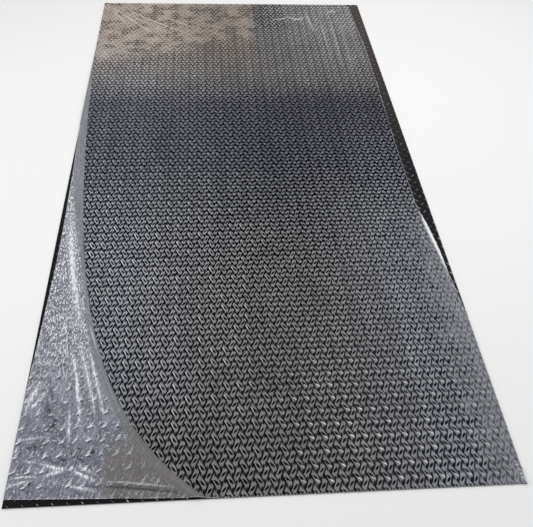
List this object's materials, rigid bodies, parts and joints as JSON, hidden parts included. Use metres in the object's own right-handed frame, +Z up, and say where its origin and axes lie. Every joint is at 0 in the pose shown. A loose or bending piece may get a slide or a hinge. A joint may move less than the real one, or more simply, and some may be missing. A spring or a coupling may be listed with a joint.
{
  "type": "aluminum tread plate",
  "caption": "Flat sheet of aluminium tread plate, raised slip-resistant lugs on the upper face, with its clear protective film still on.",
  "frame": {"origin": "middle of the underside of the sheet, on the face that it lies on", "axes": "+X across the sheet, +Y along the sheet towards its far end, +Z up out of the treaded face"},
  "size_m": [1.2192, 2.4384, 0.0033],
  "materials": {
    "mill_aluminium": "bright rolled mill finish, uncoated",
    "clear_film": "clear polyethylene protective film, glossy, creased where it has come loose"
  },
  "bodies": {
    "root": {"tread_plate": "mill_aluminium", "protective_film": "clear_film"}
  },
  "joints": []
}
